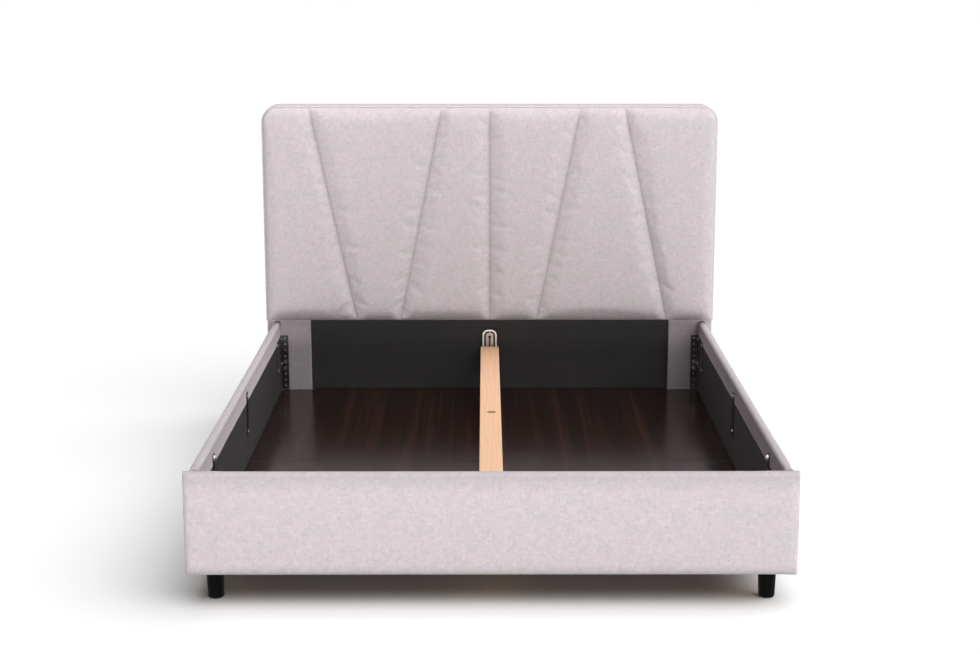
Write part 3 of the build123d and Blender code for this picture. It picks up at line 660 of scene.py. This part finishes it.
border_low, border_high = span("headboard_border")
headboard_half = border_high[0]
seam_y = border_low[1] + seam_depth
channel_low, channel_high = span("headboard_channel_1")
channel_half = -channel_low[0]
channel_back = channel_high[1]
channel_bottom, channel_top = channel_low[2], channel_high[2]
seam_tops = headboard_half * np.array(seam_top_shares)
seam_bottoms = headboard_half * np.array(seam_bottom_shares)
edge_tops = np.concatenate([[-channel_half], seam_tops, [channel_half]])
edge_bottoms = np.concatenate([[-channel_half], seam_bottoms, [channel_half]])
last_channel = len(seam_tops)

# %% Outline and seams of the channels
def outer_edge(z):
    """Half width of the channelled face at a height: straight, then a circle's quarter."""
    into_corner = np.clip(z - (channel_top - corner_radius), 0, corner_radius)
    return channel_half - corner_radius + np.sqrt(corner_radius**2 - into_corner**2)


def from_outline(x, z):
    """Distance in from the face's outline: to the nearest straight side, or in a corner to the
    circle round its centre. It counts double at the sides, where the cover turns over a tighter
    edge than at the top, and something between in the corners, by the angle round the centre."""
    to_side = channel_half - np.abs(x)
    to_top = channel_top - z
    past_x, past_z = corner_radius - to_side, corner_radius - to_top
    in_corner = (past_x > 0) & (past_z > 0)
    from_centre = np.hypot(past_x, past_z)
    sideways = np.where(in_corner, (past_x / np.maximum(from_centre, mm)) ** 2, to_side < to_top)
    distance = np.where(in_corner, corner_radius - from_centre, np.minimum(to_side, to_top))
    return distance * (1 + (side_haste - 1) * sideways)


def groove(distance):
    """How far the cover is drawn in beside a seam, as a share of the foam's depth: a power a
    little over two of the way still to go, steep at the seam and level at the groove's edge."""
    return groove_share * np.clip(1 - distance / groove_width, 0, 1) ** groove_power


def slow_fall(distance):
    """Share of the rise that is left near the top or the bottom, where the foam is trimmed to
    a long shallow parabola before it turns over its edge."""
    return 1 - slow_share * np.clip(1 - distance / slow_reach, 0, 1) ** 2


def fading(distance, reach, most):
    """A value that falls from most at an edge to nought at its reach, as a power of the share
    of the way still to go."""
    return most * np.clip(1 - distance / reach, 0, 1) ** fade_power


# %% One channel
def channel_surface(number):
    """Points of one channel's front as a grid of rows across it, from the bottom up, and how much
    painted shade darkens the cloth at each.

    The rise is the foam's depth times a quarter-round share for the outline and the bottom,
    less the groove at each seam, plus a low crown: a power of the product of two parabolas.
    The bottom's radius shrinks towards the ends of each row, where the seams hold the cloth."""
    z = shouldered(channel_bottom, channel_top, edge_round, shoulder_cells, cell)
    up = (z - channel_bottom) / (channel_top - channel_bottom)
    edges = edge_bottoms[:, None] + (edge_tops - edge_bottoms)[:, None] * up
    left_seam, right_seam = edges[number] + channel_gap / 2, edges[number + 1] - channel_gap / 2
    left = np.maximum(left_seam, -outer_edge(z))
    right = np.minimum(right_seam, outer_edge(z))
    rim = quarter_steps(edge_round, shoulder_cells)[:-1]
    flat = right - left - 2 * edge_round
    inner = np.linspace(0, 1, max(2, round(flat.max() / cell) + 1))
    middle = left[:, None] + edge_round + flat[:, None] * inner
    x = np.concatenate([left[:, None] + rim, middle, right[:, None] - rim[::-1]], axis=1)
    z = np.broadcast_to(z[:, None], x.shape)
    rise = rounded_rise(from_outline(x, z), edge_round)
    from_ends = np.minimum(x - left[:, None], right[:, None] - x)
    swell = np.clip(from_ends / swell_width, 0, 1)
    free = held_share + (1 - held_share) * swell
    rise = rise * rounded_rise(z - channel_bottom, bottom_round * free)
    rise = rise * slow_fall(z - channel_bottom) * slow_fall(channel_top - z)
    # painted shade over the rolled bottom, weaker near the seams, then in the valley beside each
    # seam
    low_down = fading(z - channel_bottom, bottom_painted_shade[0] * free, bottom_painted_shade[1])
    painted_shade = least_painted_shade + np.maximum(low_down - least_painted_shade, 0) * swell
    near_top = np.clip((channel_top - z) / top_calm, top_calm_least, 1)
    for seam, is_outer, way in ((left_seam, number == 0, 1),
                                (right_seam, number == last_channel, -1)):
        if not is_outer:
            from_seam = way * (x - seam[:, None])
            rise = rise * (1 - groove(from_seam))
            for reach, most in valley_painted_shade:
                painted_shade = np.maximum(painted_shade, fading(from_seam, reach, most) * near_top)
    across = np.clip((x - left[:, None]) / (right - left)[:, None], 0, 1)
    bulge = 16 * across * (1 - across) * (up * (1 - up))[:, None]
    crowned = crown * np.clip(bulge, 0, 1) ** crown_power
    y = seam_y - edge_proud - edge_depth * rise - crowned
    return np.stack([x, y, z], axis=-1), painted_shade


def rim_walk(rows, columns):
    """Numbers of a grid's outer points, once round it."""
    grid = np.arange(rows * columns).reshape(rows, columns)
    return np.concatenate([grid[0, :-1], grid[:-1, -1], grid[-1, :0:-1], grid[:0:-1, 0]])


# %% Build the channels
for number in range(last_channel + 1):
    front, painted_shade = channel_surface(number)
    rows, columns = front.shape[:2]
    around = rim_walk(rows, columns)
    across = travelled(front, 1)
    upwards = travelled(front, 0)
    middle_row, middle_column = rows // 2, columns // 2
    cloth_u = front[:, middle_column, 0][:, None] + across - across[:, [middle_column]]
    cloth_v = front[middle_row, :, 2][None] + upwards - upwards[[middle_row]]
    front_uv = np.stack([cloth_u, cloth_v], axis=-1).reshape(-1, 2)
    flat_front = front.reshape(-1, 3)
    back = flat_front.copy()
    back[:, 1] = channel_back
    count = len(flat_front)
    front_faces = grid_quads(rows, columns)
    wall = grid_quads(2, len(around), closed=True)
    wall_points = np.concatenate([around, count + around])
    faces = [front_faces, front_faces[:, ::-1] + count, wall_points[wall][:, ::-1]]
    faces = np.concatenate(faces).tolist()
    points = np.concatenate([flat_front, back])
    uv = np.concatenate([front_uv, front_uv + back_uv_shift])
    held = np.concatenate([marked(front, [0, -1]), np.ones(count, dtype=bool)])
    points[~held, 1] += rng.normal(0, ruffle, (~held).sum())
    painted_shade = np.tile(painted_shade.ravel(), 2)
    piece = new_piece(f"channel_{number + 1}", points, faces, uv, cover_cloth, held, painted_shade)
    will_settle(piece, held, spare=0.012, pressure=3.0, cap=4.5 * mm)
    finish_padded(piece, f"headboard_channel_{number + 1}", fill=0.85)
print(f"seams at {np.round(seam_bottoms / mm)} mm below, {np.round(seam_tops / mm)} mm above")

# %% [markdown]
# ## The border of the headboard
# A padded band runs round the sides and the top of the headboard. Its section is a flat loop
# with rounded lips, crowned a little on the outside. It is carried along the outline: up one
# side, round a corner of sixty millimetres, over the top and down again. Its inner edge stays
# sharp, and a painted shade along it gives the dark seam line round the channels.

# %% Headboard border
border_radius = 60 * mm
border_thickness = 5 * mm
border_crown = 1.2 * mm
border_cell = 12 * mm
lip_radius = 4.5 * mm
inner_setback = 0.5 * mm
inner_painted_shade = 0.5
corner_cells, lip_cells, face_cells = 12, 4, 13


def border_path():
    """Places and outward directions along the headboard's outline, as two arrays of (x, z): a
    straight side, a quarter circle, the flat top, and the first two mirrored."""
    half, top, bottom = headboard_half, border_high[2], border_low[2]
    corner_x, corner_z = half - border_radius, top - border_radius
    side = np.arange(bottom, corner_z, border_cell)
    turn = np.linspace(0, math.pi / 2, corner_cells + 1)
    over = np.linspace(-corner_x, corner_x, round(2 * corner_x / border_cell))[1:-1]
    round_out = np.stack([-np.cos(turn), np.sin(turn)], axis=-1)
    rising = np.stack([np.full_like(side, -half), side], axis=-1)
    rising = np.concatenate([rising, [-corner_x, corner_z] + border_radius * round_out])
    rising_out = np.concatenate([np.tile([-1.0, 0.0], (len(side), 1)), round_out])
    flat = np.stack([over, np.full_like(over, top)], axis=-1)
    flat_out = np.tile([0.0, 1.0], (len(over), 1))
    mirrored = np.array([-1.0, 1.0])
    places = [rising, flat, rising[::-1] * mirrored]
    outward = [rising_out, flat_out, rising_out[::-1] * mirrored]
    return np.concatenate(places), np.concatenate(outward)


def border_section():
    """The band's section as (out, back) pairs: the outer face is a shallow parabola between
    two rounded lips, and the inner face is straight."""
    front, back = border_low[1], border_high[1]
    turn = np.linspace(0, math.pi / 2, lip_cells + 1)
    lip_out = -lip_radius + lip_radius * np.sin(turn)
    lip_back = front + lip_radius - lip_radius * np.cos(turn)
    along = np.linspace(front + lip_radius, back - lip_radius, face_cells + 1)[1:-1]
    share = (along - front) / (back - front)
    face = border_crown * 4 * share * (1 - share)
    near_out = np.concatenate([[-border_thickness], lip_out])
    near_back = np.concatenate([[front + inner_setback], lip_back])
    section_back = np.concatenate([near_back, along, front + back - near_back[::-1]])
    return np.concatenate([near_out, face, near_out[::-1]]), section_back


path, outward = border_path()
section_out, section_back = border_section()
face_column = 8
x, z = (path[:, [axis]] + outward[:, [axis]] * section_out for axis in (0, 1))
points = np.stack([x, np.broadcast_to(section_back, x.shape), z], axis=-1)
gone = travelled(points[:, [face_column]], 0)
cloth_uv = np.stack(np.broadcast_arrays(travelled(points, 1), gone), axis=-1)
faces = closed_faces(*points.shape[:2])
creased = marked(points, [0, -1])
# painted shade along the inner edge, for the dark seam line
painted_shade = np.zeros(points.shape[:2])
painted_shade[:, 0] = inner_painted_shade
border = new_piece("border", points, faces, cloth_uv, cover_cloth, creased, painted_shade)
finish_padded(border, "headboard_border", fill=0.5)
print(f"border: {gone.max():.2f} m of band, {(border_high[1] - border_low[1]) / mm:.0f} mm wide")

# %% [markdown]
# ## Rails and foot panel
# A rail is a board wrapped in foam and cloth. The cover's section is a closed loop: round the
# outside, over the top, down inside to the hem, and back against the board. It is drawn once
# for each panel and carried along it.

# %% Cover sections
def arc(centre, radius, start, end, steps):
    """Points on a circle between two angles in degrees, both ends included: the centre plus
    the radius times each angle's cosine and sine."""
    angle = np.radians(np.linspace(start, end, steps + 1))
    return np.stack([centre[0] + radius * np.cos(angle), centre[1] + radius * np.sin(angle)], -1)


def straight(start, end, length):
    """Points between two places, without the ends, in even steps of about a length."""
    start, end = np.array(start, float), np.array(end, float)
    steps = max(1, round(np.linalg.norm(end - start) / length))
    return start + (end - start) * np.linspace(0, 1, steps + 1)[1:-1, None]


lining = 2 * mm
top_padding = 10 * mm
bottom_wrap = 2 * mm
turn_in = 66 * mm
hem_drop = 1.5 * mm
inner_radius = 9 * mm
hem_roll = mm * np.array([[-0.4, 3.0], [-0.4, 0.6], [0.4, 0.0]])
# painted shade over the top edge and under the bottom edge of the rail and foot panel covers
over_painted_shade = (60 * mm, 0.5)
under_painted_shade = (34 * mm, 0.7)


def cover_section(thickness, board, crowning, radius):
    """Loop of (across, up) points of a panel's cover, with the inside face at nought, and a
    mask of those that are hidden against the board. It goes along the bottom, round the outer
    edge, up a face that is crowned by a parabola, over the top, down the inside to the hem, and
    back round the board."""
    height = rail_high[2] - rail_low[2]
    face = thickness - crowning
    middle = face - radius
    up = np.linspace(radius, height - radius, round((height - 2 * radius) / cell) + 1)[1:-1]
    share = (up - radius) / (height - 2 * radius)
    crowned = np.stack([face + crowning * 4 * share * (1 - share), up], axis=-1)
    hem_z = height - turn_in - hem_drop
    shown = [
        [[0, 0]],
        straight((0, 0), (middle, 0), cell),
        arc((middle, radius), radius, -90, 0, 4),
        crowned,
        arc((middle, height - radius), radius, 0, 90, 4),
        straight((middle, height), (inner_radius, height), cell),
        arc((inner_radius, height - inner_radius), inner_radius, 90, 180, 3),
        straight((0, height - inner_radius), (0, hem_z), cell),
        hem_roll + [0, hem_z],
    ]
    board_top = height - top_padding
    hidden = np.array([
        [lining, hem_z + 1 * mm],
        [lining, board_top],
        [lining + board, board_top],
        [lining + board, bottom_wrap],
        [lining, bottom_wrap],
        [0, bottom_wrap],
    ])
    points = np.concatenate([*shown, hidden])
    unseen = np.arange(len(points)) >= len(points) - len(hidden)
    return points, unseen


def painted_shade_round(section):
    """How much painted shade darkens each point of a cover's section: over the top edge and under
    the bottom one."""
    top, bottom = section[:, 1].max(), section[:, 1].min()
    over = fading(top - section[:, 1], *over_painted_shade)
    return np.maximum(over, fading(section[:, 1] - bottom, *under_painted_shade))


def carried(section, stations):
    """A section repeated along a line, as three grids: across, up and along. Rows are stations
    and columns the section's points."""
    return np.array(np.broadcast_arrays(section[:, 0], section[:, 1], stations[:, None]))


# %% Making a panel's cover
at_back = 1 * mm
panel_ruffle = 0.1 * mm


def wrapped(name, node, points, section, unseen, outward, sharp_ends, flip, **settling):
    """A padded panel in place of a CAD node, from its carried section. outward is the axis that
    its face looks along. The hidden points and those at the back are held."""
    held = marked(points, unseen | (section[:, 0] < at_back))
    uv = np.stack([points[..., 1 - outward], travelled(points, 1)], axis=-1)
    faces = closed_faces(*points.shape[:2], flip)
    painted_shade = np.broadcast_to(painted_shade_round(section), points.shape[:2])
    creased = marked(points, unseen, sharp_ends)
    flat = points.reshape(-1, 3)
    flat[~held, outward] += rng.normal(0, panel_ruffle, (~held).sum())
    piece = new_piece(name, flat, faces, uv, cover_cloth, creased, painted_shade)
    will_settle(piece, held, spare=0.004, **settling)
    finish_padded(piece, node, fill=0.7)


# %% Side rail covers
rail_low, rail_high = span("side_rail_cover_right")
rail_thickness = rail_high[0] - rail_low[0]
rail_cell = 12 * mm
hem_wave = 0.7 * mm
hem_wave_rates = (21, 8.3)
hem_width = 4 * mm

section, unseen = cover_section(rail_thickness, board=16 * mm, crowning=2 * mm, radius=12 * mm)
length = rail_high[1] - rail_low[1]
stations = np.linspace(rail_low[1], rail_high[1], round(length / rail_cell) + 1)
hem_z = rail_high[2] - rail_low[2] - turn_in - hem_drop
hem = np.abs(section[:, 1] - hem_z) <= hem_width
for side, name in ((1, "right"), (-1, "left")):
    across, up, along = carried(section, stations)
    wave = hem_wave * np.sin(stations * hem_wave_rates[0] + side)
    wave *= np.sin(stations * hem_wave_rates[1])
    up[:, hem] += wave[:, None]
    points = np.stack([side * (rail_low[0] + across), along, rail_low[2] + up], axis=-1)
    wrapped(f"rail_cover_{name}", f"side_rail_cover_{name}", points, section, unseen,
            outward=0, sharp_ends=True, flip=side > 0, pressure=2.0, cap=2.5 * mm)
print(f"rails: {length:.2f} m long, {section.shape[0]} points round the section")

# %% [markdown]
# The foot panel is built alike, but its ends show. There the section draws in like a pillow's
# end: its depth shrinks along a quarter circle over the last few millimetres, and its height a
# little. Past the rails the cloth goes all the way down behind the board, and past the board's
# end it closes. The whole cover sags a little, as its top does in the photograph.

# %% Foot panel cover
foot_low, foot_high = span("foot_panel_cover")
foot_thickness = foot_high[1] - foot_low[1]
end_radius = 12 * mm
end_shrink = 0.2
to_rail = 1 * mm
past_board_end = 0.5 * mm
bottom_kept = 5 * mm
top_kept = 3 * mm
closed_pocket = (0.3 * mm, 0.02)
sag = 3 * mm

section, unseen = cover_section(foot_thickness, board=18 * mm, crowning=4 * mm, radius=15 * mm)
stations = shouldered(foot_low[0], foot_high[0], end_radius, 5, rail_cell)
for side in (1, -1):
    beside = np.argmin(np.abs(side * stations - rail_low[0]))
    stations[beside] = side * (rail_low[0] + to_rail)
    stations[beside - side] = side * (rail_low[0] - to_rail)
across, up, along = carried(section, stations)

# %% Behind the foot panel's board
past_rail = np.abs(stations) > rail_low[0]
past_board = np.abs(stations) > span("foot_panel_board")[1][0] + past_board_end
back_face = (section[:, 0] < at_back) & (section[:, 1] > bottom_kept)
back_face[np.flatnonzero(unseen)[0]] = True
panel_height = section[:, 1].max()
down = (panel_height - section[:, 1]) * (panel_height - top_kept) / (turn_in + hem_drop)
up[past_rail] = np.where(back_face, panel_height - down, section[:, 1])
pocket = closed_pocket[0] + closed_pocket[1] * section[:, 0]
across[past_board] = np.where(unseen, pocket, section[:, 0])

# %% Sag and ends of the foot panel
# the sag is full on the shown face and fades out down the back to the hem
above_hem = (up - (panel_height - turn_in)) / turn_in
sag_share = np.where(section[:, 0] > at_back, 1.0, np.clip(above_hem, 0, 1))
up -= np.where(unseen, 0, sag * sag_share)

from_end = np.minimum(stations - foot_low[0], foot_high[0] - stations)
drawn_in = end_radius * (1 - rounded_rise(from_end, end_radius))
height = foot_high[2] - foot_low[2]
across *= (1 - drawn_in / foot_thickness)[:, None]
up = height / 2 + (up - height / 2) * (1 - end_shrink * drawn_in / height)[:, None]

points = np.stack([along, foot_high[1] - across, foot_low[2] + up], axis=-1)
wrapped("foot_panel", "foot_panel_cover", points, section, unseen,
        outward=1, sharp_ends=False, flip=True, pressure=1.5, cap=2 * mm)
print(f"foot panel: {foot_high[0] - foot_low[0]:.2f} m wide")

# %% [markdown]
# ## Post covers
# Below the channels the cloth goes on round each stile of the headboard. The cover's section is
# an open box with rounded corners, carried straight up. Deep in the box the cloth lies in shade,
# so a painted shade darkens it more towards the floor, but not on its outer side.

# %% Post covers
post_radius = 5 * mm
post_cell = 15 * mm
stile_gap = 5 * mm
inner_return = 20 * mm
post_rows = 22
post_shade_low, post_shade_high = 0.8, 0.35


def post_section(low, high):
    """Loop of (x, y) points round a right-hand post: in at the inner return, across the front,
    back along the outer side, and home against the stile."""
    left, right, front, back = low[0], high[0], low[1], high[1]
    r = post_radius
    return_y = front + inner_return
    shown = [
        [[left, return_y]],
        arc((left + r, front + r), r, 180, 270, 4),
        straight((left + r, front), (right - r, front), post_cell),
        arc((right - r, front + r), r, 270, 360, 4),
        straight((right, front + r), (right, back), post_cell),
        [[right, back]],
    ]
    hidden = np.array([
        [right - stile_gap, back],
        [right - stile_gap, front + stile_gap],
        [left + stile_gap, front + stile_gap],
        [left + stile_gap, return_y],
    ])
    points = np.concatenate([*shown, hidden])
    return points, np.arange(len(points)) >= len(points) - len(hidden)


post_low, post_high = span("headboard_post_cover_right")
section, unseen = post_section(post_low, post_high)
stations = np.linspace(post_low[2], post_high[2], post_rows)
for side, name in ((1, "right"), (-1, "left")):
    x, y, z = carried(section, stations)
    points = np.stack([side * x, y, z], axis=-1)
    uv = np.stack([travelled(points, 1), z], axis=-1)
    faces = closed_faces(*x.shape, flip=side < 0)
    # painted shade, stronger towards the floor
    towards_top = (z - post_low[2]) / (post_high[2] - post_low[2])
    painted_shade = post_shade_low + (post_shade_high - post_shade_low) * towards_top
    painted_shade = np.where(x < post_high[0] - 1 * mm, painted_shade, 0.0)
    creased = marked(points, unseen)
    piece = new_piece(f"post_cover_{name}", points, faces, uv, cover_cloth, creased, painted_shade)
    finish_padded(piece, f"headboard_post_cover_{name}", fill=0.3)

# %% Settle the cloth
settle_all()
for piece in covers:
    smooth = piece.modifiers.new("Subdivision", "SUBSURF")
    smooth.levels = 1
    smooth.render_levels = 1
print(f"{len(covers)} padded pieces, {len(padded_pieces)} of them settled")

# %% [markdown]
# ## Floor and light
# A broad soft lamp stands high up to the right, so the bed's shadow falls to the left, and a
# weaker one shines level from the front onto the cloth. The floor is a shade that just turns
# white where no shadow falls, for the camera only: other rays meet a darker one, so that it
# lights the bed less from below. Mirrors see plain white all round, as the camera does past the
# floor.

# %% Stage
def white_for(tree, rays, kind, other):
    """A shader that is plain white for some kinds of ray, and another shader for the rest."""
    paths = put(tree, "LightPath").outputs
    seen = 0.0
    for ray in rays:
        seen = calc(tree, "MAXIMUM", seen, paths[f"Is {ray} Ray"])
    white = put(tree, kind, {"Color": "ffffff", "Strength": 1.0})
    return put(tree, "MixShader", {0: seen, 1: other.outputs[0], 2: white.outputs[0]}).outputs[0]


floor_reach = 40.0
floor_shade_seen = 0.99
floor_shade = 0.75
around_strength = 0.08
floor_points = floor_reach * np.array([[-1, -1, 0], [1, -1, 0], [1, 1, 0], [-1, 1, 0]], float)
tree, shader = finish_named("studio_floor")
tree.nodes.remove(shader)
to_camera = put(tree, "LightPath").outputs["Is Camera Ray"]
shade = ramp(tree, to_camera, 0, 1, floor_shade, floor_shade_seen)
grey = put(tree, "CombineColor", {0: shade, 1: shade, 2: shade})
matt = put(tree, "BsdfDiffuse", {"Color": grey.outputs[0]})
surface = white_for(tree, ("Glossy", "Transmission"), "Emission", matt)
plug(tree, tree.nodes["Material Output"], {"Surface": surface})
floor = new_piece("studio_floor", floor_points, [[0, 1, 2, 3]], floor_points[:, :2],
                  finishes["studio_floor"])

world = bpy.data.worlds.new("surroundings")
bpy.context.scene.world = world
world.use_nodes = True
tree = world.node_tree
tree.nodes.clear()
ambient = put(tree, "Background", {"Color": "ffffff", "Strength": around_strength})
surface = white_for(tree, ("Camera", "Glossy", "Transmission"), "Background", ambient)
plug(tree, put(tree, "OutputWorld"), {"Surface": surface})

# %% Lamps
def softbox(name, strength, spread, towards):
    """A distant lamp of a given width in degrees. towards is the way from the bed to the lamp."""
    lamp = bpy.data.lights.new(name, "SUN")
    lamp.energy = strength
    lamp.angle = math.radians(spread)
    holder = bpy.data.objects.new(name, lamp)
    x, y, z = towards
    holder.rotation_euler = (math.atan2(math.hypot(x, y), z), 0, math.atan2(x, -y))
    bpy.context.scene.collection.objects.link(holder)


softbox("overhead", 3.36, 84, (0.42, -0.14, 0.90))
softbox("front_fill", 1.98, 7, (0.04, -1.0, 0.0))
bpy.context.scene.view_settings.view_transform = "Standard"
